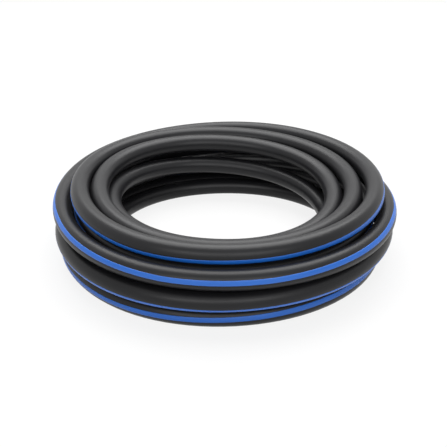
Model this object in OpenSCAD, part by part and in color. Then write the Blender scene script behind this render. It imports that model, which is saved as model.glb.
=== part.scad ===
// Soaker hose, packed as a coil: one hose with a coloured stripe, wound in four layers
// without a crossing, with a swivel coupling on one end and a screw cap on the other.
// Both ends are tucked inside the coil. Origin: middle of the coil, on the floor.

/* [Hose] */
// Outside diameter of the hose
hose_od = 15.8; // [14.5:0.1:17]
// Bore of the hose
hose_bore = 9.5; // [8:0.1:10.8]
// Width of the stripe
stripe_w = 4.1; // [2:0.1:5]
// Thickness of the stripe's band
stripe_t = 0.5; // [0.4:0.05:0.8]

/* [Coil] */
// Radius of the floor layer's outer turn, at the front
coil_r = 133.7; // [130:0.1:170]
// Clear gap between neighbouring turns
turn_gap = 0.7; // [0.6:0.1:2]
// Room between the coil's inside, at the front, and the inlet's nut
inlet_room = 5.5; // [5:0.5:9]
// Room between the fittings of the two ends, side by side
fitting_room = 1.5; // [1:0.5:3]
// Straight length of hose at each end
lead_len = 22; // [21:1:25]

/* [Inlet coupling] */
// Major diameter of the hose thread, 3/4 inch garden hose size
thread_d = 26.8; // [25:0.1:27.5]
// Radial play between a male thread and its nut or cap
thread_play = 0.15; // [0.1:0.05:0.3]
// Wall of the nut around the thread
nut_wall = 2.6; // [2:0.1:3]
// Length of the nut's thread, from the washer to its mouth
nut_thread = 9; // [7:0.5:13]
// Number of grip ribs on the nut
nut_ribs = 24; // [12:2:36]
// Water way through both stems
stem_bore = 6.5; // [4:0.1:7]

/* [Outlet cap] */
// Length of the outlet's male thread
male_len = 11; // [9:0.5:13]
// Wall of the cap
cap_wall = 1.9; // [1.5:0.1:2.4]
// Thickness of the cap's end
cap_end = 2.4; // [1.5:0.1:4]
// Number of grip flutes on the cap
cap_flutes = 20; // [12:2:32]

/* [Seals] */
// Thickness of the two rubber washers
washer_t = 3; // [2:0.1:3.4]
// Diameter of the hole in the inlet washer
washer_id = 16; // [14:0.5:18]
// Thickness of the flow disc
disc_t = 1; // [0.6:0.1:1.4]
// Hole of the flow disc
disc_hole = 3.2; // [1:0.1:6]
// Thickness of the filter screen
screen_t = 0.8; // [0.5:0.1:1.2]

/* [Hidden] */
$fn = 72;

// Resolution of the wound hose.
rings_a_turn = 24;
sides = 6;
apothem = cos(180 / sides);
lead_step = 15;

// Winding. A pitch is the hose and the gap beside it. Each layer is a spiral with a steady step,
// about a centre that sits a little off the axis, and the hose climbs where the spiral reverses.
pitch = hose_od + turn_gap;
flat_cut = hose_od / 10;
floor_z = hose_od / 2 - flat_cut;
// Turn at which the floor layer starts, near the left, and turn at which the tail leaves the wall.
first_turn = 5 / rings_a_turn;
last_turn = 233 / rings_a_turn;
// A layer: [turn where its size is given, radius over coil_r, step outwards a turn,
// height over the floor layer, rise a turn, shift to the back, shift to the left], in pitches.
LAYERS = [
    [2, 0, 1.01, 0, 0, 0.37, -0.05],
    [3, 0.36, -1, 1.1, -0.1, 0.22, 0.23],
    [6, 0.42, 1.07, 2.22, 0.15, 0.22, -0.28],
    [7, -0.46, -1, 3.13, -0.12, 0.17, 0.1]];
// A climb to the next layer: [turn where it starts, turns that it takes].
CLIMBS = [[2.27, 0.51], [4.2, 0.5], [6.21, 0.38]];
// No coil is quite round: [waves a turn, their cosine and sine height], in pitches.
WAVES = [[3, 0.07, 0.02], [4, -0.04, 0.02]];
// The top layer starts with a bulge outwards: [turn, turns to each side, height in pitches].
BULGE = [6.67, 0.46, 0.11];
// The top layer also sags towards its inner turns, and tilts up at the back and at the left, each
// turn more than the last. All are in pitches, as at turn tilt_turn.
top_sag = 0.08;
top_tilt_back = 0.21;
top_tilt_left = 0.17;
tilt_growth = 0.58;
tilt_turn = 8;
// The tail drops inside the layers below: [start, turns taken, step outwards, step up].
TAIL = [8.99, 0.5, 0.81, -1.01];
// Where the stripe points: [turn, degrees above level], outwards from the coil.
STRIPE_ROLL = [[0, 0], [1.7, 22], [1.9, 22], [2.1, -1], [2.75, -18], [3, -42], [3.25, -16], [4.5, 0],
    [5.55, 0], [5.8, 38], [5.96, 12], [6.05, 11], [6.2, 36], [6.4, 8], [6.6, 20], [6.75, 16],
    [6.94, -16], [7.08, -24], [7.28, 4], [7.7, -35], [8.1, -35], [10, 0]];

// The stripe's band lies on the flat of the hose that faces the same way.
stripe_lift = 0.22;
stripe_h = hose_od / 2 * apothem + stripe_lift;
stripe_r = norm([stripe_h + stripe_t, stripe_w / 2]);

// Fittings, along each one's own axis from the hose's end face outwards.
cut = 1; // how far a cutting shape runs past what it cuts
fit_gap = 0.05;
rest_gap = 0.3;
barb_r = hose_bore / 2 + 0.1;
barb_len = 18;
barb_teeth = 3;
barb_step = 0.7;
ferrule_r = max(hose_od / 2, stripe_r) + fit_gap;
ferrule_wall = 1;
ferrule_len = 20;
crimps = 3;
crimp_r = 1.2;
crimp_depth = 0.35;
collar_r = ferrule_r + ferrule_wall;
collar_t = 2.5;
neck_r = 7.6;
head_t = 2.5;
nut_lip = 2.8;
rib_r = 1.1;
nut_chamfer = 2;
nut_rim = 3;
relief = 0.4;
thread_r = thread_d / 2;
nut_bore_r = thread_r + thread_play;
nut_r = nut_bore_r + nut_wall;
nut_z = collar_t + rest_gap;
head_z = nut_z + nut_lip + rest_gap;
seal_z = head_z + head_t;
seal_r = nut_bore_r - rest_gap;
mouth_z = seal_z + disc_t + washer_t + nut_thread;
screen_hole = 1.2;
screen_step = 2;
screen_rim = 1.2;
hex_af = 24;
hex_len = 5;
male_z = collar_t + hex_len;
thread_pitch = 2.209;
thread_depth = 1.1;
crest_w = 0.5;
root_w = 1.9;
overlap = 0.2; // how far joined shapes of one piece run into each other
cap_bore_r = thread_r + thread_play;
cap_r = cap_bore_r + cap_wall;
cap_mouth_z = male_z + rest_gap;
cap_seat_z = male_z + male_len;
cap_washer_t = washer_t * 2 / 3;
cap_chamfer = 1.5;
flute_r = 1.6;
flute_depth = 0.8;
flute_start = 2.5;

function smooth(x) = let (c = min(max(x, 0), 1)) c * c * (3 - 2 * c);

// Radius, height and centre of one layer's spiral at turn t.
function layer_radius(l, t) = coil_r + pitch * (l[1] + l[2] * (t - l[0])
    - l[5] * cos(360 * t) + l[6] * sin(360 * t));
function layer_height(l, t) = floor_z + pitch * (l[3] + l[4] * (t - l[0]));
function top_bulge(t) = pitch * BULGE[2] * (1 - smooth(abs(t - BULGE[0]) / BULGE[1]));
function top_lean(t) = (1 + tilt_growth * (t - tilt_turn))
    * (top_tilt_back * cos(360 * t) - top_tilt_left * sin(360 * t));
function top_drop(t) = -pitch * (top_sag * (t - LAYERS[3][0]) * abs(t - LAYERS[3][0]) + top_lean(t));
function waves(t, i = 0) = i == len(WAVES) ? 0 : pitch * (WAVES[i][1] * cos(360 * WAVES[i][0] * t)
    + WAVES[i][2] * sin(360 * WAVES[i][0] * t)) + waves(t, i + 1);

function climbed(t, k) = smooth((t - CLIMBS[k][0]) / CLIMBS[k][1]);
function tail(t) = smooth((t - TAIL[0]) / TAIL[1]);
// Value of the layers a at turn t, with extra on the top one.
function wound_value(a, extra, t) = a[0] + (a[1] - a[0]) * climbed(t, 0)
    + (a[2] - a[1]) * climbed(t, 1) + (a[3] + extra - a[2]) * climbed(t, 2);
function coil_radius(t) = wound_value([for (l = LAYERS) layer_radius(l, t)], top_bulge(t), t)
    + waves(t) + pitch * TAIL[2] * tail(t);
function coil_height(t) = wound_value([for (l = LAYERS) layer_height(l, t)], top_drop(t), t)
    + pitch * TAIL[3] * tail(t);
// Turns run clockwise from above, and turn 0 is at the front.
function coil_point(t) = let (a = -90 - 360 * t, r = coil_radius(t))
    [r * cos(a), r * sin(a), coil_height(t)];

function flat(v) = [v.x, v.y, 0] / norm([v.x, v.y]);
function left(v) = [-v.y, v.x, 0];
function turned(v, a) = [v.x * cos(a) - v.y * sin(a), v.x * sin(a) + v.y * cos(a), v.z];

// An end that leaves point p with heading h: it bends round to heading goal, on the side s
// (1 left, -1 right), onto the line that lies at y and at height z, and then runs straight.
function lead(p, h, goal, s, y, z) =
    let (r = (p.y - y) / (1 - s * left(h).y),
         c = p + r * s * left(h),
         sweep = (s * (atan2(goal.y, goal.x) - atan2(h.y, h.x)) + 720) % 360,
         n = round(sweep / lead_step),
         bend = [for (i = [1:n]) let (q = c + turned(p - c, s * sweep * i / n))
             [q.x, q.y, p.z + (z - p.z) * smooth(i / n)]])
    [each bend, for (i = [1:3]) bend[n - 1] + goal * lead_len * i / 3];

function reverse(list) = [for (i = [len(list) - 1:-1:0]) list[i]];

coil_turns = [for (k = [first_turn * rings_a_turn:last_turn * rings_a_turn]) k / rings_a_turn];
coil = [for (t = coil_turns) coil_point(t)];
heading_in = flat(coil_point(first_turn - 0.001) - coil_point(first_turn));
heading_out = flat(coil_point(last_turn + 0.001) - coil_point(last_turn));
inlet_y = -coil_radius(1) + hose_od / 2 + inlet_room + nut_r;
// The nut lies beside the outlet's ferrule, and the cap beside the inlet's straight end.
outlet_y = inlet_y + max(nut_r, cap_r) + collar_r + fitting_room;
inlet_lead = lead(coil[0], heading_in, [1, 0, 0], 1, inlet_y, nut_r + rest_gap);
outlet_lead = lead(coil[len(coil) - 1], heading_out, [-1, 0, 0], -1, outlet_y, cap_r + rest_gap);
wound = [each reverse(inlet_lead), each coil, each outlet_lead];
// The outline's middle goes on the origin.
function mid(values) = (min(values) + max(values)) / 2;
middle = [mid([for (p = wound) p.x]), mid([for (p = wound) p.y]), 0];
route = [for (p = wound) p - middle];
roll = [for (i = [0:len(route) - 1])
    lookup((i - len(inlet_lead)) / rings_a_turn + first_turn, STRIPE_ROLL)];
inlet_end = route[0];
outlet_end = route[len(route) - 1];

function hose_length(i = 1) = i == len(route) ? 0
    : norm(route[i] - route[i - 1]) + hose_length(i + 1);
apart = rings_a_turn / 2;
least_gap = min([for (i = [0:len(route) - 1 - apart])
    for (j = [i + apart:1:len(route) - 1]) norm(route[i] - route[j])]) - hose_od;
echo(least_gap_to_itself = least_gap, hose_length = hose_length());
echo(inlet_end = inlet_end, outlet_end = outlet_end);

// Frame of the route at ring i: outwards and upwards, turned by the stripe's roll.
function tangent(i) = let (d = route[min(i + 1, len(route) - 1)] - route[max(i - 1, 0)]) d / norm(d);
function across(i, a) = let (t = tangent(i), out = left(flat(t)), up = cross(t, out))
    out * cos(a) + up * sin(a);

// Rings of a section that's given as [distance, angle] from the route.
function ring(i, section) = [for (s = section) route[i] + s[0] * across(i, roll[i] + s[1])];
function quad(a, b, c, d) = [[a, b, c], [a, c, d]];
// Wall of a tube of n-sided rings, count of them, whose points start at base.
function tube_faces(n, count, base, turn) = [for (i = [0:count - 2]) for (k = [0:n - 1])
    let (a = base + i * n + k, b = base + i * n + (k + 1) % n)
    each (turn ? quad(a, b, b + n, a + n) : quad(a, a + n, b + n, b))];

hose_section = [for (k = [0:sides - 1]) [hose_od / 2, 360 * (k + 0.5) / sides]];
bore_section = [for (s = hose_section) [hose_bore / 2, s[1]]];
function polar(x, y) = [norm([x, y]), atan2(y, x)];
// It runs against the hose's section, so that the band's faces split as the flat's do.
stripe_section = [for (c = [[0, 1], [1, 1], [1, -1], [0, -1]])
    polar(stripe_h + c[0] * stripe_t, c[1] * stripe_w / 2)];

module hose_wall() {
    count = len(route);
    inner = count * sides;
    last = inner - sides;
    points = [for (i = [0:count - 1]) each ring(i, hose_section),
              for (i = [0:count - 1]) each ring(i, bore_section)];
    ends = [for (k = [0:sides - 1]) let (m = (k + 1) % sides)
        each [each quad(k, k + inner, m + inner, m),
              each quad(last + k, last + m, last + m + inner, last + k + inner)]];
    color("#232527")
        difference() {
            polyhedron(points, [each tube_faces(sides, count, 0, false),
                                each tube_faces(sides, count, inner, true), each ends]);
            translate([-2 * coil_r, -2 * coil_r, -hose_od])
                cube([4 * coil_r, 4 * coil_r, hose_od]);
        }
}

module blue_stripe() {
    count = len(route);
    last = (count - 1) * 4;
    points = [for (i = [0:count - 1]) each ring(i, stripe_section)];
    color("#2f66b8")
        polyhedron(points, [each tube_faces(4, count, 0, true), each quad(3, 2, 1, 0),
                            each quad(last, last + 1, last + 2, last + 3)]);
}

// These put a fitting, drawn along +Z, on an end of the hose.
module at_inlet() translate(inlet_end) rotate([0, 90, 0]) children();
module at_outlet() translate(outlet_end) rotate([0, -90, 0]) children();

module tube(r_out, r_in, h) {
    difference() {
        cylinder(r = r_out, h = h);
        translate([0, 0, -cut]) cylinder(r = r_in, h = h + 2 * cut);
    }
}

// Barbed shank that the hose is pushed over.
module barb() {
    step = barb_len / barb_teeth;
    for (i = [0:barb_teeth - 1])
        translate([0, 0, -barb_len + i * step])
            cylinder(r1 = barb_r - barb_step, r2 = barb_r, h = step);
}

module way_through(top) {
    translate([0, 0, -barb_len - cut]) cylinder(d = stem_bore, h = barb_len + top + 2 * cut);
}

module inlet_tail() {
    color("#b8923f")
        at_inlet() difference() {
            union() {
                barb();
                cylinder(r = collar_r, h = collar_t);
                cylinder(r = neck_r, h = head_z + overlap);
                translate([0, 0, head_z]) cylinder(r = seal_r, h = head_t);
            }
            way_through(seal_z);
        }
}

// Sleeve over the hose's end, crimped with a few round grooves.
module ferrule() {
    translate([0, 0, -ferrule_len]) difference() {
        tube(collar_r, ferrule_r, ferrule_len);
        for (i = [1:crimps])
            translate([0, 0, ferrule_len * i / (crimps + 1)]) rotate_extrude()
                translate([collar_r + crimp_r - crimp_depth, 0]) circle(r = crimp_r, $fn = 24);
    }
}

module inlet_ferrule() {
    color("#a9adb0") at_inlet() ferrule();
}

// Swivel nut: its lip turns on the stem's neck, behind the stem's head. The bore behind the
// thread is a little wider, as room for the washer.
module coupling_nut() {
    height = mouth_z - nut_z;
    body_r = nut_r - rib_r;
    color("#1c1d1f")
        at_inlet() translate([0, 0, nut_z]) difference() {
            union() {
                cylinder(r1 = body_r - nut_chamfer, r2 = body_r, h = nut_rim);
                translate([0, 0, nut_rim]) cylinder(r = body_r, h = height - 2 * nut_rim);
                translate([0, 0, height - nut_rim]) cylinder(r = nut_r - overlap, h = nut_rim);
                for (i = [0:nut_ribs - 1]) rotate(i * 360 / nut_ribs)
                    translate([body_r, 0, nut_chamfer])
                        cylinder(r = rib_r, h = height - 2 * nut_chamfer, $fn = 16);
            }
            translate([0, 0, -cut]) cylinder(r = neck_r + fit_gap, h = height);
            translate([0, 0, nut_lip])
                cylinder(r = nut_bore_r + relief, h = height - nut_lip - nut_thread);
            translate([0, 0, height - nut_thread - cut])
                cylinder(r = nut_bore_r, h = nut_thread + 2 * cut);
        }
}

module flow_disc() {
    color("#d8dadc")
        at_inlet() translate([0, 0, seal_z]) tube(seal_r - overlap, disc_hole / 2, disc_t);
}

module inlet_washer() {
    color("#2b2b2b")
        at_inlet() translate([0, 0, seal_z + disc_t]) tube(seal_r, washer_id / 2, washer_t);
}

// Screen in the washer's hole: rings of round holes in a thin plate.
module filter_screen() {
    rows = floor((washer_id / 2 - screen_rim) / screen_step);
    color("#9aa0a4")
        at_inlet() translate([0, 0, seal_z + disc_t]) difference() {
            cylinder(d = washer_id, h = screen_t);
            for (k = [0:rows]) for (i = [0:max(6 * k, 1) - 1])
                rotate(i * 60 / max(k, 1)) translate([k * screen_step, 0, -cut])
                    cylinder(d = screen_hole, h = screen_t + 2 * cut, $fn = 16);
        }
}

// Male thread: its crests are rings one thread pitch apart.
module male_thread() {
    crests = floor(male_len / thread_pitch - 0.5);
    root_r = thread_r - thread_depth;
    cylinder(r = root_r, h = male_len);
    rotate_extrude() for (i = [0:crests - 1])
        translate([0, thread_pitch * (i + 0.75)])
            polygon([[root_r - overlap, -root_w / 2], [thread_r, -crest_w / 2],
                     [thread_r, crest_w / 2], [root_r - overlap, root_w / 2]]);
}

module outlet_tail() {
    color("#b8923f")
        at_outlet() difference() {
            union() {
                barb();
                cylinder(r = collar_r, h = collar_t);
                translate([0, 0, collar_t - overlap])
                    cylinder(d = hex_af / cos(30), h = hex_len + overlap, $fn = 6);
                translate([0, 0, male_z]) male_thread();
            }
            way_through(cap_seat_z);
        }
}

module outlet_ferrule() {
    color("#a9adb0") at_outlet() ferrule();
}

module cap_washer() {
    color("#2b2b2b")
        at_outlet() translate([0, 0, cap_seat_z])
            cylinder(r = cap_bore_r - rest_gap, h = cap_washer_t);
}

// Cap: a fluted cup that screws over the male thread and presses the washer on its end.
module end_cap() {
    inner = cap_seat_z + cap_washer_t - cap_mouth_z;
    height = inner + cap_end;
    color("#1c1d1f")
        at_outlet() translate([0, 0, cap_mouth_z]) difference() {
            union() {
                cylinder(r = cap_r, h = height - cap_chamfer);
                translate([0, 0, height - cap_chamfer])
                    cylinder(r1 = cap_r, r2 = cap_r - cap_chamfer, h = cap_chamfer);
            }
            translate([0, 0, -cut]) cylinder(r = cap_bore_r, h = inner + cut);
            for (i = [0:cap_flutes - 1]) rotate(i * 360 / cap_flutes)
                translate([cap_r + flute_r - flute_depth, 0, flute_start])
                    cylinder(r = flute_r, h = height, $fn = 20);
        }
}

hose_wall();
blue_stripe();
inlet_tail();
inlet_ferrule();
coupling_nut();
flow_disc();
inlet_washer();
filter_screen();
outlet_tail();
outlet_ferrule();
cap_washer();
end_cap();
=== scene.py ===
# %% [markdown]
# # A soaker hose, wound as a coil
#
# A soaker hose is sold as a neat coil: one long, smooth, black hose with a coloured stripe,
# wound in layers, with a coupling on one end and a cap on the other, both tucked inside the
# ring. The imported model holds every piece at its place. Here the hose gets its round shape,
# the fittings their threads and soft edges, and everything its finish.

# %% Load the frame
import math

import bmesh
import bpy
import numpy as np
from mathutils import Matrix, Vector


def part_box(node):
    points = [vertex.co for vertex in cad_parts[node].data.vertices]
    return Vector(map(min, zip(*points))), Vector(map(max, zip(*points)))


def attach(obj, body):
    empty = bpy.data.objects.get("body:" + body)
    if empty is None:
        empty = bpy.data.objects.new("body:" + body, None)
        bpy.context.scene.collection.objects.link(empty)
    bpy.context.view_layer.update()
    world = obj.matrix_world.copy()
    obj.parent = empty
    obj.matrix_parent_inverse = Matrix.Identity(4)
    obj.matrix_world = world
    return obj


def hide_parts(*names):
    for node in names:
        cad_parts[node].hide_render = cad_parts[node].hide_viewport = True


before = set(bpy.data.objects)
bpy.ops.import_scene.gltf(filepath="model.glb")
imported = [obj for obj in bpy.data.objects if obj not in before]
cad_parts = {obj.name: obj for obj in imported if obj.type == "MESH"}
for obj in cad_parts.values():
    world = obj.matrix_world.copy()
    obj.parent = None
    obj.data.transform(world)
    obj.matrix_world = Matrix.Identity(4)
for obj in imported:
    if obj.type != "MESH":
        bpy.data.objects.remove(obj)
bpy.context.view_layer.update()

MM = 0.001
scene = bpy.context.scene
scene.view_settings.view_transform = "Standard"
print("nodes:", sorted(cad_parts))


# %% [markdown]
# ## The camera
#
# The coil is seen from a little above and from fairly close by, so its near side looks about
# half as large again as its far side. The camera is placed by its height angle and its distance
# from a point near the coil's middle.

# %% Camera
camera_elevation = 26.47
camera_distance = 717 * MM
camera_target = Vector((-0.3 * MM, -5.1 * MM, 20 * MM))
camera_lens = 65.5
camera_data = bpy.data.cameras.new("camera")
camera_data.lens = camera_lens
camera_data.sensor_width = 36
camera_data.clip_start = 0.05
camera = bpy.data.objects.new("camera", camera_data)
scene.collection.objects.link(camera)
camera_angle = math.radians(camera_elevation)
camera_way = Vector((0, -math.cos(camera_angle), math.sin(camera_angle)))
camera.location = camera_target + camera_way * camera_distance
camera.rotation_euler = (math.pi / 2 - camera_angle, 0, 0)
scene.camera = camera
print("camera", [round(v, 3) for v in camera.location])


# %% [markdown]
# ## The hose's route
#
# The hose is one unbroken length. It spirals outwards on the floor, climbs a layer, spirals in,
# climbs and does the same again, so there are four layers. Its last end drops inside. A route
# that is worked out by a rule keeps the turns one pitch apart, which points placed by hand would
# not. The rule and its sizes are the same as in the part's own source, so the round hose lies
# where its solid is.

# %% Sizes of the hose
hose_od = 15.8 * MM
hose_r = hose_od / 2
hose_bore_r = 4.75 * MM
turn_gap = 0.7 * MM
pitch = hose_od + turn_gap
coil_r = 133.7 * MM
# How deep the floor's pressure flattens the lowest turns.
floor_press = hose_od / 10
floor_z = hose_r - floor_press
first_turn = 5 / 24
last_turn = 233 / 24
# A layer: turn where its size is given, radius over coil_r, step outwards a turn, height over
# the floor layer, rise a turn, shift to the back, shift to the left; in pitches.
LAYERS = [
    (2, 0, 1.01, 0, 0, 0.37, -0.05),
    (3, 0.36, -1, 1.1, -0.1, 0.22, 0.23),
    (6, 0.42, 1.07, 2.22, 0.15, 0.22, -0.28),
    (7, -0.46, -1, 3.13, -0.12, 0.17, 0.1),
]
# A climb: turn where it starts, turns that it takes.
CLIMBS = [(2.27, 0.51), (4.2, 0.5), (6.21, 0.38)]
# The coil is not quite round: waves a turn, their cosine and sine height.
WAVES = [(3, 0.07, 0.02), (4, -0.04, 0.02)]
# The top layer's bulge: turn of its middle, turns to each side, how far out.
BULGE = (6.67, 0.46, 0.11)
# The top layer stands higher before its given turn, and sinks ever faster after it.
top_sag = 0.08
# It leans, so that it is higher at the back and at the left.
top_tilt_back = 0.21
top_tilt_left = 0.17
# The lean grows by this share a turn, and has its plain size at tilt_turn.
tilt_growth = 0.58
tilt_turn = 8
# The tail: turn where it starts, turns that it takes, step outwards, step up.
TAIL = (8.99, 0.5, 0.81, -1.01)


# %% Route of the coil
def smooth(x):
    """From 0 to 1 as x does, but with a soft start and a soft end."""
    x = np.clip(x, 0, 1)
    return x * x * (3 - 2 * x)


def layer_path(layer, t):
    """Radius and height of one layer's spiral at turns t, in pitches."""
    turn, radius, step, height, rise, back, left = layer
    angle = 2 * np.pi * t
    radius = radius + step * (t - turn) - back * np.cos(angle) + left * np.sin(angle)
    height = height + rise * (t - turn)
    if layer == LAYERS[-1]:
        radius = radius + BULGE[2] * (1 - smooth(abs(t - BULGE[0]) / BULGE[1]))
        lean = top_tilt_back * np.cos(angle) - top_tilt_left * np.sin(angle)
        height = height - lean * (1 + tilt_growth * (t - tilt_turn))
        height = height - top_sag * (t - turn) * abs(t - turn)
    return np.array([radius, height])


def coil_points(t):
    """Points of the hose's middle line at turns t: clockwise from above, turn 0 in front."""
    place = layer_path(LAYERS[0], t)
    for below, above, (start, length) in zip(LAYERS, LAYERS[1:], CLIMBS):
        climbed = smooth((t - start) / length)
        place = place + climbed * (layer_path(above, t) - layer_path(below, t))
    dropped = smooth((t - TAIL[0]) / TAIL[1])
    radius, height = place + dropped * np.array(TAIL[2:]).reshape(2, *[1] * np.ndim(t))
    for waves, cosine, sine in WAVES:
        angle = 2 * np.pi * waves * t
        radius = radius + cosine * np.cos(angle) + sine * np.sin(angle)
    radius = coil_r + pitch * radius
    angle = -np.pi / 2 - 2 * np.pi * t
    return np.stack([radius * np.cos(angle), radius * np.sin(angle), floor_z + pitch * height],
                    axis=-1)


# %% [markdown]
# The two ends leave the coil in a wide bend and then run straight into their fittings, side by
# side inside the ring. A hose can't bend sharper than about four times its thickness, and a
# straight run is what a fitting needs to grip.

# %% Route of the two ends
lead_len = 22 * MM
nut_r = 16.15 * MM
cap_r = 15.45 * MM
collar_r = 8.95 * MM
# Room between the nut and the coil in front of it, between the two fittings, and under them.
inlet_room = 5.5 * MM
fitting_room = 1.5 * MM
rest_gap = 0.3 * MM
bend_steps = 36
run_steps = 12


def lead_points(start, heading, goal, side, line_y, height):
    """A bend from start round to the direction goal, on the line at line_y, and a straight run."""
    left = np.array([-heading[1], heading[0], 0])
    radius = (start[1] - line_y) / (1 - side * left[1])
    centre = start + radius * side * left
    sweep = side * (math.atan2(goal[1], goal[0]) - math.atan2(heading[1], heading[0]))
    sweep = (sweep + 4 * math.pi) % (2 * math.pi)
    share = np.arange(1, bend_steps + 1) / bend_steps
    angle = side * sweep * share
    arm = start - centre
    bend = np.stack([
        centre[0] + arm[0] * np.cos(angle) - arm[1] * np.sin(angle),
        centre[1] + arm[0] * np.sin(angle) + arm[1] * np.cos(angle),
        start[2] + (height - start[2]) * smooth(share),
    ], axis=-1)
    run = np.arange(1, run_steps + 1)[:, None] / run_steps * lead_len
    return np.concatenate([bend, bend[-1] + run * np.array(goal)])


def flat_unit(v):
    """The direction of v, laid level."""
    return np.array([v[0], v[1], 0]) / math.hypot(v[0], v[1])


# %% The whole route
rings_a_turn = 96
turns = np.arange(round(first_turn * rings_a_turn), round(last_turn * rings_a_turn) + 1)
coil = coil_points(turns / rings_a_turn)
# A small part of a turn, to find which way the hose is heading at its ends.
nudge = 0.001
heading_in = flat_unit(coil_points(first_turn - nudge) - coil[0])
heading_out = flat_unit(coil_points(last_turn + nudge) - coil[-1])
inlet_y = -math.hypot(*coil_points(1.0)[:2]) + hose_r + inlet_room + nut_r
outlet_y = inlet_y + max(nut_r, cap_r) + collar_r + fitting_room
inlet_lead = lead_points(coil[0], heading_in, (1, 0, 0), 1, inlet_y, nut_r + rest_gap)
outlet_lead = lead_points(coil[-1], heading_out, (-1, 0, 0), -1, outlet_y, cap_r + rest_gap)
route = np.concatenate([inlet_lead[::-1], coil, outlet_lead])
middle = (route.min(axis=0) + route.max(axis=0)) / 2
middle[2] = 0
route = route - middle
steps = np.linalg.norm(np.diff(route, axis=0), axis=1)
along = np.concatenate([[0], np.cumsum(steps)])
inlet_end, outlet_end = route[0], route[-1]


# %% [markdown]
# ## The round hose
#
# A tube is swept along the route: a ring of points stands square to the hose at every step.
# Each ring takes its directions from the coil itself, outwards and upwards, so the tube never
# twists, and a point's angle always means the same side of the hose. Where the lowest turns
# press on the floor they are a little flat. The mesh keeps its own map: metres along the hose
# one way, and the way round it the other, which the finish needs later.

# %% Sweep a section along the route
tangents = np.gradient(route, axis=0)
tangents /= np.linalg.norm(tangents, axis=1)[:, None]
outward = np.stack([-tangents[:, 1], tangents[:, 0], np.zeros(len(route))], axis=-1)
outward /= np.linalg.norm(outward, axis=1)[:, None]
upward = np.cross(tangents, outward)


def swept_points(distance, angle, roll):
    """Rings of points round the route. angle is in degrees above outwards, turned by roll."""
    turned_by = np.radians(angle[None, :] + roll[:, None])
    offset = (outward[:, None, :] * np.cos(turned_by)[..., None]
              + upward[:, None, :] * np.sin(turned_by)[..., None])
    points = route[:, None, :] + offset * distance[None, :, None]
    points[..., 2] = np.maximum(points[..., 2], 0)
    return points


def add_tube(builder, uv_layer, points, outside):
    """Adds the wall of a tube, its faces out or in, and returns its first and last ring."""
    count, sides = points.shape[:2]
    verts = [builder.verts.new(p) for p in points.reshape(-1, 3)]
    for i in range(count - 1):
        for k in range(sides):
            m = (k + 1) % sides
            corners = [(i, k), (i + 1, k), (i + 1, m), (i, m)]
            if not outside:
                corners.reverse()
            face = builder.faces.new([verts[a * sides + b] for a, b in corners])
            face.smooth = True
            for loop, (a, b) in zip(face.loops, corners):
                share = (k + 1 if b == m else k) / sides
                loop[uv_layer].uv = (along[a], share)
    return verts[:sides], verts[-sides:]


def swept(name, points, bore_points=None):
    """A piece from rings of points: a band with closed ends, or a tube with a bore."""
    builder = bmesh.new()
    uv_layer = builder.loops.layers.uv.new("along_hose")
    first, last = add_tube(builder, uv_layer, points, True)
    if bore_points is None:
        builder.faces.new(first)
        builder.faces.new(last[::-1])
    else:
        bore_first, bore_last = add_tube(builder, uv_layer, bore_points, False)
        for k in range(len(first)):
            m = (k + 1) % len(first)
            builder.faces.new([first[k], first[m], bore_first[m], bore_first[k]])
            builder.faces.new([last[m], last[k], bore_last[k], bore_last[m]])
    mesh = bpy.data.meshes.new(name)
    builder.to_mesh(mesh)
    builder.free()
    piece = bpy.data.objects.new(name, mesh)
    scene.collection.objects.link(piece)
    return piece


# %% Hose
hose_sides = 36
ring_angle = np.arange(hose_sides) * 360 / hose_sides
no_roll = np.zeros(len(route))
hose = swept("hose",
             swept_points(np.full(hose_sides, hose_r), ring_angle, no_roll),
             swept_points(np.full(hose_sides, hose_bore_r), ring_angle, no_roll))
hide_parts("hose_wall")
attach(hose, "hose")
print("hose:", len(hose.data.polygons), "faces")


# %% [markdown]
# ## The stripe
#
# The stripe is blue plastic pressed into the hose's skin. It faces outwards, but not quite
# evenly: the hose turned a little as it was wound, so from layer to layer the stripe sits lower
# or higher. A thin curved band that stands a hair above the skin keeps its edges crisp, which a
# colour painted by a rule on the hose would not.

# %% Stripe
stripe_w = 4.1 * MM
stripe_lift = 0.05 * MM
stripe_sunk = 0.3 * MM
band_points = 9
# Where the stripe points: turn, degrees above level.
STRIPE_ROLL = [(0, 0), (1.7, 22), (1.9, 22), (2.1, -1), (2.75, -18), (3, -42), (3.25, -16),
               (4.5, 0), (5.55, 0), (5.8, 38), (5.96, 12), (6.05, 11), (6.2, 36), (6.4, 8),
               (6.6, 20), (6.75, 16), (6.94, -16), (7.08, -24), (7.28, 4), (7.7, -35),
               (8.1, -35), (10, 0)]
# Each ring's turn. Along the two ends it runs on, so the roll does too.
ring_turn = (np.arange(len(route)) - len(inlet_lead)) / rings_a_turn + first_turn
stripe_roll = np.interp(ring_turn, *zip(*STRIPE_ROLL))
half_angle = math.degrees(stripe_w / 2 / hose_r)
band = np.linspace(-half_angle, half_angle, band_points)
band_angle = np.concatenate([band, band[::-1]])
band_height = np.repeat([hose_r + stripe_lift, hose_r - stripe_sunk], len(band))
stripe = swept("stripe", swept_points(band_height, band_angle, stripe_roll))
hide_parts("blue_stripe")
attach(stripe, "hose")
print("stripe:", len(stripe.data.polygons), "faces, half angle", round(half_angle, 1))


# %% [markdown]
# ## Modelling the fittings
#
# Most pieces of a hose fitting come off a lathe, so one helper makes them all, as a modeller
# would by hand: it adds a circle, extrudes and resizes it ring by ring along the fitting's own
# line, and joins the last ring to the first, or fills both where the piece has no hole. The
# inlet's pieces stand along +X from the hose's end and the outlet's along -X, so each helper
# takes the end and the way.

# %% Helpers for turned pieces
round_sides = 96
sharp_angle = math.radians(30)
smooth_angle = math.radians(35)


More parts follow.
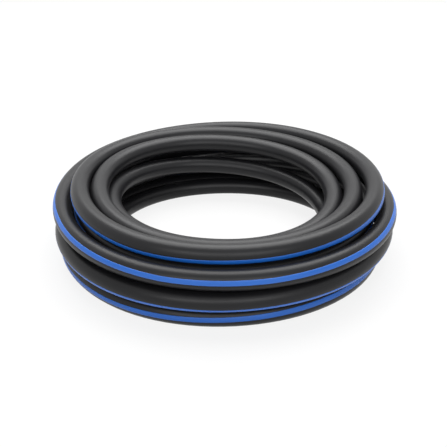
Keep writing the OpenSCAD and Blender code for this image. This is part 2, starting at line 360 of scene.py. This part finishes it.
def place_on(end, way, x):
    """The point x along the axis of the fitting that stands on a hose's end."""
    return Vector((end[0] + way * x, end[1], end[2]))


def turned(name, end, way, profile, sides=round_sides, hollow=True):
    """A piece as from a lathe. profile lists the places along the axis and their radii.

    A hollow piece's last ring is joined to its first, and any other has both filled.
    """
    bpy.ops.object.select_all(action="DESELECT")
    centres = [place_on(end, way, x) for x, radius in profile]
    bpy.ops.mesh.primitive_circle_add(vertices=sides, radius=profile[0][1],
                                      location=centres[0], rotation=(0, math.pi / 2, 0))
    piece = bpy.context.object
    piece.name = name
    bpy.ops.object.transform_apply(location=True, rotation=True, scale=True)
    bpy.ops.object.mode_set(mode="EDIT")
    bpy.ops.mesh.select_all(action="SELECT")
    for i in range(1, len(profile)):
        step = centres[i] - centres[i - 1]
        wider = profile[i][1] / profile[i - 1][1]
        bpy.ops.mesh.extrude_region_move(TRANSFORM_OT_translate={"value": step})
        bpy.ops.transform.resize(value=(1, wider, wider), center_override=centres[i])
    bpy.ops.mesh.select_all(action="DESELECT")
    bpy.ops.mesh.select_non_manifold()
    if hollow:
        bpy.ops.mesh.bridge_edge_loops()
    else:
        bpy.ops.mesh.fill_holes(sides=0)
    bpy.ops.mesh.select_all(action="SELECT")
    bpy.ops.mesh.normals_make_consistent(inside=False)
    bpy.ops.object.mode_set(mode="OBJECT")
    return piece


def make_active(piece):
    """Selects only this piece, and makes it the one that the next steps change."""
    bpy.ops.object.select_all(action="DESELECT")
    piece.select_set(True)
    bpy.context.view_layer.objects.active = piece


def softened(piece, width, segments=2):
    """Rounds the sharp edges of a piece, and smooths the shading of the rest."""
    make_active(piece)
    bevel = piece.modifiers.new("soft_edges", "BEVEL")
    bevel.width = width
    bevel.segments = segments
    bevel.limit_method = "ANGLE"
    bevel.angle_limit = sharp_angle
    bpy.ops.object.modifier_apply(modifier=bevel.name)
    bpy.ops.object.shade_smooth_by_angle(angle=smooth_angle)


def joined(piece, *others):
    """Makes others part of piece."""
    make_active(piece)
    for other in others:
        other.select_set(True)
    bpy.ops.object.join()
    return piece


# %% [markdown]
# Grip ribs and flutes are the same thing, a row of bumps or hollows round a turned wall. Whole
# columns of the wall's points are picked by their angle, and moved out or in a little.

# %% Helper for ribs and flutes
# A limit stands this far beyond the points that just reach it.
touching = 0.01 * MM


def columns_moved(piece, end, sides, copies, lifts, low, high, least_r):
    """Moves every copy's columns of points out by lifts, the first for its middle column.

    Only points further out than least_r, and between low and high along the axis, are moved.
    """
    per_copy = sides // copies
    bpy.context.view_layer.objects.active = piece
    for offset, lift in enumerate(lifts):
        bpy.ops.object.mode_set(mode="EDIT")
        bpy.ops.mesh.select_mode(type="VERT")
        bpy.ops.mesh.select_all(action="DESELECT")
        builder = bmesh.from_edit_mesh(piece.data)
        for vert in builder.verts:
            y, z = vert.co.y - end[1], vert.co.z - end[2]
            column = round(math.atan2(y, z) / (2 * math.pi) * sides) % per_copy
            on_wall = math.hypot(y, z) > least_r and low <= abs(vert.co.x - end[0]) <= high
            vert.select = bool(on_wall and min(column, per_copy - column) == offset)
        builder.select_flush_mode()
        bmesh.update_edit_mesh(piece.data)
        wider = 1 + lift / least_r
        bpy.ops.transform.resize(value=(1, wider, wider), center_override=tuple(end))
        bpy.ops.object.mode_set(mode="OBJECT")


# %% [markdown]
# A hose thread is one ridge wound round the axis. Its section is drawn as a small four-sided
# outline beside the axis, and the Screw modifier carries it round and along.

# %% Helper for threads
thread_pitch = 2.209 * MM
thread_steps = 48
thread_smooth_angle = math.radians(20)


def thread(name, end, way, start, turns_round, base_r, crest_r, base_w, crest_w):
    """A right-handed ridge from base_r to crest_r, wound on the fitting's axis."""
    bpy.ops.object.select_all(action="DESELECT")
    bpy.ops.mesh.primitive_plane_add(size=1, location=place_on(end, way, start))
    ridge = bpy.context.object
    ridge.name = name
    corners = [(-base_w / 2, base_r), (base_w / 2, base_r), (-crest_w / 2, crest_r),
               (crest_w / 2, crest_r)]
    for vert, (x, radius) in zip(ridge.data.vertices, corners):
        vert.co = (x, radius, 0)
    bpy.ops.object.mode_set(mode="EDIT")
    bpy.ops.mesh.select_all(action="SELECT")
    bpy.ops.mesh.delete(type="ONLY_FACE")
    bpy.ops.object.mode_set(mode="OBJECT")
    screw = ridge.modifiers.new("wound", "SCREW")
    screw.axis = "X"
    screw.angle = 2 * math.pi * turns_round * way
    screw.screw_offset = thread_pitch * turns_round * way
    screw.steps = screw.render_steps = round(thread_steps * turns_round)
    bpy.ops.object.modifier_apply(modifier=screw.name)
    bpy.ops.object.transform_apply(location=True, rotation=True, scale=True)
    bpy.ops.object.mode_set(mode="EDIT")
    bpy.ops.mesh.select_all(action="DESELECT")
    bpy.ops.mesh.select_non_manifold()
    bpy.ops.mesh.fill_holes(sides=4)
    bpy.ops.mesh.select_all(action="SELECT")
    bpy.ops.mesh.normals_make_consistent(inside=False)
    bpy.ops.object.mode_set(mode="OBJECT")
    bpy.ops.object.shade_smooth_by_angle(angle=thread_smooth_angle)
    return ridge


# %% Sizes of the fittings
stem_bore_r = 3.25 * MM
barb_len = 18 * MM
barb_teeth = 3
barb_r = 4.85 * MM
barb_step = 0.7 * MM
collar_t = 2.5 * MM
thread_r = 13.4 * MM
# A thread's ridge starts this far from the step beside it.
thread_lead = 1.2 * MM
nut_bore_r = 13.55 * MM
seal_gap = 0.3 * MM
seal_r = nut_bore_r - seal_gap
edge = 0.25 * MM


def placed(end, way, node):
    """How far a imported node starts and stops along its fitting's axis, from the hose's end."""
    low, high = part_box(node)
    ends = sorted((way * (low.x - end[0]), way * (high.x - end[0])))
    return ends[0], ends[1]


def barbs():
    """Profile of the barbed shank inside the hose, from its tip."""
    step = barb_len / barb_teeth
    points = []
    for i in range(barb_teeth):
        points.append((-barb_len + i * step, barb_r - barb_step))
        points.append((-barb_len + (i + 1) * step, barb_r))
    return points


# %% [markdown]
# ## The inlet's stem
#
# A brass stem is pushed into the hose: three barbs hold it, a collar stops it, and past a narrow
# neck it ends in a flat head, on which the seals are pressed.

# %% Inlet stem
neck_r = 7.6 * MM
head_t = 2.5 * MM
head_end = placed(inlet_end, 1, "inlet_tail")[1]
head_start = head_end - head_t
stem_profile = barbs() + [
    (0, collar_r), (collar_t, collar_r), (collar_t, neck_r), (head_start, neck_r),
    (head_start, seal_r), (head_end, seal_r), (head_end, stem_bore_r), (-barb_len, stem_bore_r),
]
inlet_stem = turned("inlet_stem", inlet_end, 1, stem_profile)
softened(inlet_stem, edge)
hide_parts("inlet_tail")
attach(inlet_stem, "hose")
print("inlet stem:", len(inlet_stem.data.polygons), "faces")


# %% [markdown]
# ## The ferrules
#
# A thin metal sleeve is squeezed onto the hose over the barbs. The press leaves a few round
# grooves, which are drawn into the profile as arcs.

# %% Ferrules
ferrule_len = 20 * MM
ferrule_in_r = 7.95 * MM
crimps = 3
crimp_r = 1.2 * MM
crimp_depth = 0.35 * MM
crimp_points = 9


def ferrule_profile():
    """The sleeve's wall, with its grooves at even steps."""
    profile = [(-ferrule_len, ferrule_in_r), (-ferrule_len, collar_r)]
    reach = math.acos(1 - crimp_depth / crimp_r)
    for crimp in range(1, crimps + 1):
        middle_x = -ferrule_len + crimp * ferrule_len / (crimps + 1)
        for angle in np.linspace(-reach, reach, crimp_points):
            radius = collar_r + crimp_r - crimp_depth - crimp_r * math.cos(angle)
            profile.append((middle_x + crimp_r * math.sin(angle), radius))
    return profile + [(0, collar_r), (0, ferrule_in_r)]


def ferrule(name, end, way, node):
    """One fitting's sleeve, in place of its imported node."""
    sleeve = turned(name, end, way, ferrule_profile())
    softened(sleeve, edge)
    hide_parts(node)
    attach(sleeve, "hose")
    print(name, len(sleeve.data.polygons), "faces")
    return sleeve


ferrule("inlet_sleeve", inlet_end, 1, "inlet_ferrule")
outlet_sleeve = ferrule("outlet_sleeve", outlet_end, -1, "outlet_ferrule")


# %% [markdown]
# ## The coupling nut
#
# The nut turns freely on the stem's neck, held by its lip behind the head. It has 24 round grip
# ribs, a plain rim at its mouth, and a real thread inside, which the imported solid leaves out.

# %% Coupling nut
nut_sides = 240
nut_ribs = 24
rib_r = 1.1 * MM
# Half a rib is three columns of points wide, and each column is this far from the next.
rib_columns = 3
column_w = 0.39 * MM
shoulder_len = 3 * MM
shoulder_drop = 2 * MM
rim_len = 3 * MM
rib_rise = 1 * MM
rib_fall = 0.1 * MM
rim_drop = 0.2 * MM
lip_t = 2.8 * MM
swivel_gap = 0.05 * MM
nut_thread_len = 9 * MM
thread_relief = 0.4 * MM

nut_start, nut_end = placed(inlet_end, 1, "coupling_nut")
nut_body_r = nut_r - rib_r
rim_r = nut_r - rim_drop
rim_start = nut_end - rim_len
thread_start = nut_end - nut_thread_len
rib_start = nut_start + shoulder_len
lip_end = nut_start + lip_t
lip_r = neck_r + swivel_gap
relief_r = nut_bore_r + thread_relief
nut_profile = [
    (nut_start, lip_r), (nut_start, nut_body_r - shoulder_drop), (rib_start, nut_body_r),
    (rib_start + rib_rise, nut_body_r), (rim_start - rib_fall, nut_body_r),
    (rim_start, nut_body_r), (rim_start, rim_r), (nut_end, rim_r), (nut_end, nut_bore_r),
    (thread_start, nut_bore_r), (thread_start, relief_r), (lip_end, relief_r), (lip_end, lip_r),
]
nut = turned("nut", inlet_end, 1, nut_profile, sides=nut_sides)
rib_lifts = [math.sqrt(rib_r ** 2 - (k * column_w) ** 2) for k in range(rib_columns)]
columns_moved(nut, inlet_end, nut_sides, nut_ribs, rib_lifts, low=rib_start + rib_rise / 2,
              high=rim_start - rib_fall / 2, least_r=nut_body_r - touching)
softened(nut, edge)
nut_thread = thread("nut_thread", inlet_end, 1, start=thread_start + thread_lead,
                    turns_round=3, base_r=nut_bore_r + 0.1 * MM, crest_r=12.5 * MM,
                    base_w=1.7 * MM, crest_w=0.3 * MM)
joined(nut, nut_thread)
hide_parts("coupling_nut")
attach(nut, "nut")
print("nut:", len(nut.data.polygons), "faces")


# %% [markdown]
# ## The seals
#
# Behind the nut's thread lie a flow disc, which lets only so much water in, and a rubber washer
# with a screen in its hole. They are thin rings with soft edges. The cap has a plain pad without
# a hole.

# %% Flow disc and washers
disc_t = 1 * MM
disc_hole_r = 1.6 * MM
disc_gap = 0.2 * MM
disc_r = seal_r - disc_gap
disc_edge = 0.2 * MM
washer_t = 3 * MM
washer_hole_r = 8 * MM
washer_edge = 0.5 * MM
pad_edge = 0.4 * MM


def ring_profile(start, thickness, inner_r, outer_r):
    """Section of a plain ring that starts at start on the axis."""
    end = start + thickness
    return [(start, inner_r), (start, outer_r), (end, outer_r), (end, inner_r)]


disc = turned("disc", inlet_end, 1, ring_profile(head_end, disc_t, disc_hole_r, disc_r))
softened(disc, disc_edge)
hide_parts("flow_disc")
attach(disc, "hose")

washer_profile = ring_profile(head_end + disc_t, washer_t, washer_hole_r, seal_r)
washer = turned("washer", inlet_end, 1, washer_profile)
softened(washer, washer_edge, segments=3)
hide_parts("inlet_washer")
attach(washer, "hose")

pad_start, pad_end = placed(outlet_end, -1, "cap_washer")
pad = turned("cap_pad", outlet_end, -1, [(pad_start, seal_r), (pad_end, seal_r)], hollow=False)
softened(pad, pad_edge, segments=3)
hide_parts("cap_washer")
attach(pad, "seal")
print("seals:", len(disc.data.polygons), len(washer.data.polygons), len(pad.data.polygons))


# %% [markdown]
# ## The outlet's stem
#
# The other end's stem has the same barbs and collar, then a hexagon to hold it by, and a male
# hose thread. The hexagon is a turned ring of only six sides.

# %% Outlet stem
hex_end = 7.5 * MM
hex_flat_r = 12 * MM
hex_corner_r = hex_flat_r / math.cos(math.pi / 6)
hex_edge = 0.5 * MM
thread_depth = 1.1 * MM
hub_drop = 1 * MM
male_thread_start = hex_end + thread_lead

male_end = placed(outlet_end, -1, "outlet_tail")[1]
root_r = thread_r - thread_depth
hub_r = root_r - hub_drop
outlet_profile = barbs() + [
    (0, collar_r), (collar_t, collar_r), (collar_t, hub_r), (hex_end, hub_r),
    (hex_end, root_r), (male_end, root_r), (male_end, stem_bore_r), (-barb_len, stem_bore_r),
]
outlet_stem = turned("outlet_stem", outlet_end, -1, outlet_profile)
softened(outlet_stem, edge)
hex_profile = ring_profile(collar_t, hex_end - collar_t, hub_r - edge, hex_corner_r)
hexagon = turned("hexagon", outlet_end, -1, hex_profile, sides=6)
softened(hexagon, hex_edge)
male_thread = thread("male_thread", outlet_end, -1, start=male_thread_start, turns_round=3.8,
                     base_r=root_r - 0.2 * MM, crest_r=thread_r, base_w=1.9 * MM,
                     crest_w=0.5 * MM)
joined(outlet_stem, hexagon, male_thread)
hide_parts("outlet_tail")
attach(outlet_stem, "hose")
print("outlet stem:", len(outlet_stem.data.polygons), "faces")


# %% [markdown]
# ## The end cap
#
# A black cup screws over the male thread and presses its pad on the stem's end. Flutes run up
# its side, and its thread runs between the stem's own ridges.

# %% End cap
cap_sides = 240
cap_flutes = 20
cap_floor_t = 2.4 * MM
cap_bevel = 1.5 * MM
cap_rim_len = 2.5 * MM
flute_rise = 1 * MM
flute_r = 1.6 * MM
flute_depth = 0.8 * MM
# Half a flute is four columns of points wide, and each column is this far from the next.
flute_columns = 4
flute_column_w = 0.4 * MM

cap_mouth, cap_top = placed(outlet_end, -1, "end_cap")
cap_floor = cap_top - cap_floor_t
bevel_start = cap_top - cap_bevel
flute_start = cap_mouth + cap_rim_len
cap_profile = [
    (cap_floor, nut_bore_r), (cap_mouth, nut_bore_r), (cap_mouth, cap_r), (flute_start, cap_r),
    (flute_start + flute_rise, cap_r), (bevel_start, cap_r), (cap_top, cap_r - cap_bevel),
]
cap = turned("cap", outlet_end, -1, cap_profile, sides=cap_sides, hollow=False)
flute_lifts = [flute_r - flute_depth - math.sqrt(flute_r ** 2 - (k * flute_column_w) ** 2)
               for k in range(flute_columns)]
columns_moved(cap, outlet_end, cap_sides, cap_flutes, flute_lifts,
              low=flute_start + flute_rise / 2, high=bevel_start + touching,
              least_r=cap_r - touching)
softened(cap, edge)
cap_thread = thread("cap_thread", outlet_end, -1, start=male_thread_start + thread_pitch / 2,
                    turns_round=3.2, base_r=nut_bore_r + 0.1 * MM, crest_r=12.55 * MM,
                    base_w=1.6 * MM, crest_w=0.3 * MM)
joined(cap, cap_thread)
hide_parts("end_cap")
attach(cap, "cap")
print("cap:", len(cap.data.polygons), "faces")


# %% [markdown]
# ## Finishes
#
# Every finish is a Principled shader with a few nodes. The hose is satin plastic: it is pressed
# through a die, so it has faint lines along its length, and its skin is very slightly
# pitted. The map along the hose lets those lines follow it round the coil.

# %% Helpers for finishes
def new_finish(name, color, roughness, metallic=0.0, specular=0.5):
    """A material with its Principled shader set, and the tools to add nodes to it."""
    finish = bpy.data.materials.new(name)
    finish.use_nodes = True
    nodes = finish.node_tree.nodes
    shader = nodes["Principled BSDF"]
    shader.inputs["Base Color"].default_value = (*color, 1)
    shader.inputs["Roughness"].default_value = roughness
    shader.inputs["Metallic"].default_value = metallic
    shader.inputs["Specular IOR Level"].default_value = specular
    return finish, nodes, finish.node_tree.links, shader


def srgb(red, green, blue):
    """A colour that is given as it looks on a screen, 0 to 255, in the shader's own terms."""
    def linear(value):
        value = value / 255
        return value / 12.92 if value <= 0.04045 else ((value + 0.055) / 1.055) ** 2.4
    return linear(red), linear(green), linear(blue)


def noise_node(nodes, links, vector, scale=1.0, detail=2.0):
    noise = nodes.new("ShaderNodeTexNoise")
    noise.inputs["Scale"].default_value = scale
    noise.inputs["Detail"].default_value = detail
    links.new(vector, noise.inputs["Vector"])
    return noise.outputs["Fac"]


def mapped(nodes, links, source="Object", scale=(1, 1, 1)):
    """Coordinates stretched by scale, from the piece's own space or its map."""
    coords = nodes.new("ShaderNodeTexCoord")
    mapping = nodes.new("ShaderNodeMapping")
    mapping.inputs["Scale"].default_value = scale
    links.new(coords.outputs[source], mapping.inputs["Vector"])
    return mapping.outputs["Vector"]


# Most of a noise's values lie between these two.
noise_low = 0.3
noise_high = 0.7


def ranged(nodes, links, value, low, high):
    """The value of a noise, spread over low to high."""
    node = nodes.new("ShaderNodeMapRange")
    node.inputs["From Min"].default_value = noise_low
    node.inputs["From Max"].default_value = noise_high
    node.inputs["To Min"].default_value = low
    node.inputs["To Max"].default_value = high
    links.new(value, node.inputs["Value"])
    return node.outputs["Result"]


def color_between(nodes, links, factor, first, second):
    mix = nodes.new("ShaderNodeMix")
    mix.data_type = "RGBA"
    mix.inputs["A"].default_value = (*first, 1)
    mix.inputs["B"].default_value = (*second, 1)
    links.new(factor, mix.inputs["Factor"])
    return mix.outputs["Result"]


def bumped(nodes, links, shader, height, distance, strength):
    """Makes the surface look raised by distance where height is 1."""
    bump = nodes.new("ShaderNodeBump")
    bump.inputs["Distance"].default_value = distance
    bump.inputs["Strength"].default_value = strength
    links.new(height, bump.inputs["Height"])
    links.new(bump.outputs["Normal"], shader.inputs["Normal"])


def give(piece, finish):
    """Puts a finish on every slot of a piece."""
    if not piece.data.materials:
        piece.data.materials.append(finish)
    for slot in range(len(piece.data.materials)):
        piece.data.materials[slot] = finish


# %% Finish of the hose and its stripe
# Die lines: repeats a metre along the hose, and repeats round it.
DIE_LINES = (3, 60, 1)
line_share = 0.5
gloss_change = 0.03


def hose_skin(name, dark, light, roughness, specular):
    """Satin extruded plastic: lines along the hose, and a fine pitted grain."""
    finish, nodes, links, shader = new_finish(name, dark, roughness, specular=specular)
    lines = noise_node(nodes, links, mapped(nodes, links, "UV", DIE_LINES))
    grain = noise_node(nodes, links, mapped(nodes, links), scale=900, detail=3)
    clouds = noise_node(nodes, links, mapped(nodes, links), scale=18)
    links.new(color_between(nodes, links, ranged(nodes, links, clouds, 0, 1), dark, light),
              shader.inputs["Base Color"])
    links.new(ranged(nodes, links, lines, roughness - gloss_change, roughness + gloss_change),
              shader.inputs["Roughness"])
    relief = nodes.new("ShaderNodeMath")
    relief.operation = "MULTIPLY_ADD"
    relief.inputs[1].default_value = line_share
    links.new(lines, relief.inputs[0])
    links.new(grain, relief.inputs[2])
    bumped(nodes, links, shader, relief.outputs[0], distance=0.02 * MM, strength=0.5)
    return finish


hose_finish = hose_skin("hose_black", srgb(23, 23, 25), srgb(28, 28, 30), roughness=0.36,
                        specular=0.24)
stripe_finish = hose_skin("stripe_blue", srgb(22, 95, 188), srgb(26, 100, 194), roughness=0.40,
                          specular=0.5)
give(hose, hose_finish)
give(stripe, stripe_finish)
print("hose finishes ready")


# %% Finishes of the fittings
patchy_gloss = 0.05


def moulded(name, color, roughness):
    """Moulded plastic: a fine spark texture and a slightly uneven gloss."""
    finish, nodes, links, shader = new_finish(name, color, roughness)
    place = mapped(nodes, links)
    spark = noise_node(nodes, links, place, scale=1500)
    patches = noise_node(nodes, links, place, scale=60)
    links.new(ranged(nodes, links, patches, roughness - patchy_gloss,
                     roughness + patchy_gloss),
              shader.inputs["Roughness"])
    bumped(nodes, links, shader, spark, distance=0.03 * MM, strength=0.6)
    return finish


# Lathe rings: repeats a metre along the X axis, and along the other two.
LATHE_RINGS = (4000, 40, 40)
# A stain darkens the colour to this share, and adds to the roughness. Clean metal has less.
stain_depth = 0.75
stain_dulling = 0.08
clean_gloss = 0.04


def turned_metal(name, color, roughness):
    """Metal from a lathe: faint rings round the X axis, which both fittings lie along."""
    finish, nodes, links, shader = new_finish(name, color, roughness, metallic=1.0)
    rings = noise_node(nodes, links, mapped(nodes, links, scale=LATHE_RINGS))
    stains = noise_node(nodes, links, mapped(nodes, links), scale=90, detail=3)
    darker = tuple(c * stain_depth for c in color)
    links.new(color_between(nodes, links, ranged(nodes, links, stains, 0, 1), darker, color),
              shader.inputs["Base Color"])
    links.new(ranged(nodes, links, stains, roughness + stain_dulling,
                     roughness - clean_gloss),
              shader.inputs["Roughness"])
    bumped(nodes, links, shader, rings, distance=0.02 * MM, strength=0.4)
    return finish


FINISHES = {
    "brass": turned_metal("brass", srgb(200, 164, 94), 0.38),
    "ferrule_metal": turned_metal("ferrule_metal", srgb(168, 170, 174), 0.46),
    "screen_metal": turned_metal("screen_metal", srgb(176, 180, 184), 0.35),
    "fitting_black": moulded("fitting_black", srgb(30, 31, 33), 0.45),
    "disc_plastic": moulded("disc_plastic", srgb(222, 224, 226), 0.35),
    "washer_rubber": moulded("washer_rubber", srgb(34, 34, 34), 0.7),
}
PIECE_SLOT = {
    "inlet_stem": "brass", "outlet_stem": "brass", "inlet_sleeve": "ferrule_metal",
    "outlet_sleeve": "ferrule_metal", "nut": "fitting_black", "cap": "fitting_black",
    "disc": "disc_plastic", "washer": "washer_rubber", "cap_pad": "washer_rubber",
}
for piece_name, slot in PIECE_SLOT.items():
    give(bpy.data.objects[piece_name], FINISHES[slot])
give(bpy.data.objects["filter_screen"], FINISHES["screen_metal"])
print("fittings:", sorted(PIECE_SLOT))


# %% [markdown]
# ## Floor and light
#
# The coil lies on a plain white sweep, as in a catalogue. What the camera sees of the floor, and
# what the metal and the satin skin mirror of it, is for the most part plain white. The rest is a
# real surface, which keeps a soft shadow under the coil and lights it from below.

# %% Floor
floor_size = 6
floor_drop = 0.4 * MM
floor_color = (0.8, 0.8, 0.8)
white_share = 0.85


def seen_or_mirrored(nodes, links):
    """1 for what the camera sees straight or in a reflection, and 0 for what only lights."""
    rays = nodes.new("ShaderNodeLightPath")
    either = nodes.new("ShaderNodeMath")
    either.use_clamp = True
    links.new(rays.outputs["Is Camera Ray"], either.inputs[0])
    links.new(rays.outputs["Is Glossy Ray"], either.inputs[1])
    return either.outputs[0]


bpy.ops.object.select_all(action="DESELECT")
bpy.ops.mesh.primitive_plane_add(size=floor_size, location=(0, 0, -floor_drop))
floor = bpy.context.object
floor.name = "floor"
floor_finish, floor_nodes, floor_links, floor_shader = new_finish(
    "floor", floor_color, roughness=0.9, specular=0.1)
plain_white = floor_nodes.new("ShaderNodeEmission")
part_white = floor_nodes.new("ShaderNodeMath")
part_white.operation = "MULTIPLY"
part_white.inputs[1].default_value = white_share
floor_links.new(seen_or_mirrored(floor_nodes, floor_links), part_white.inputs[0])
floor_mix = floor_nodes.new("ShaderNodeMixShader")
floor_links.new(part_white.outputs[0], floor_mix.inputs[0])
floor_links.new(floor_shader.outputs[0], floor_mix.inputs[1])
floor_links.new(plain_white.outputs[0], floor_mix.inputs[2])
floor_links.new(floor_mix.outputs[0], floor_nodes["Material Output"].inputs["Surface"])
give(floor, floor_finish)

# %% [markdown]
# The studio's walls are a world that looks plain white, also as a mirror image, but gives the
# coil only a dim light. One very large soft lamp hangs over the coil and a little behind it, which
# draws a long soft highlight along the top of every turn. Two weaker ones in front keep the
# stripe's colour.

# %% World
world = bpy.data.worlds.new("studio")
scene.world = world
world.use_nodes = True
world_nodes, world_links = world.node_tree.nodes, world.node_tree.links
background = world_nodes["Background"]
background.inputs["Color"].default_value = (1, 1, 1, 1)
world_light = 0.2
white_behind = 1.0
level = world_nodes.new("ShaderNodeMapRange")
level.inputs["To Min"].default_value = world_light
level.inputs["To Max"].default_value = white_behind
world_links.new(seen_or_mirrored(world_nodes, world_links), level.inputs["Value"])
world_links.new(level.outputs["Result"], background.inputs["Strength"])


# %% Lamps
LAMP_AIM = Vector((0, 0, 30 * MM))
# A lamp: name, place, width and height, power in watts.
LAMPS = [
    ("lamp_over_back", (0, 0.5, 1.2), (1.5, 1.2), 33),
    ("lamp_front_left", (-0.5, -1.4, 0.8), (0.9, 0.7), 6),
    ("lamp_front_right", (0.5, -1.4, 0.8), (0.9, 0.7), 6),
]


def soft_lamp(name, place, size, power):
    """A rectangular area lamp that looks at the coil."""
    data = bpy.data.lights.new(name, "AREA")
    data.shape = "RECTANGLE"
    data.size, data.size_y = size
    data.energy = power
    lamp = bpy.data.objects.new(name, data)
    scene.collection.objects.link(lamp)
    lamp.location = place
    lamp.rotation_euler = (LAMP_AIM - lamp.location).to_track_quat("-Z", "Y").to_euler()


for lamp_values in LAMPS:
    soft_lamp(*lamp_values)
print("lamps:", len(LAMPS))
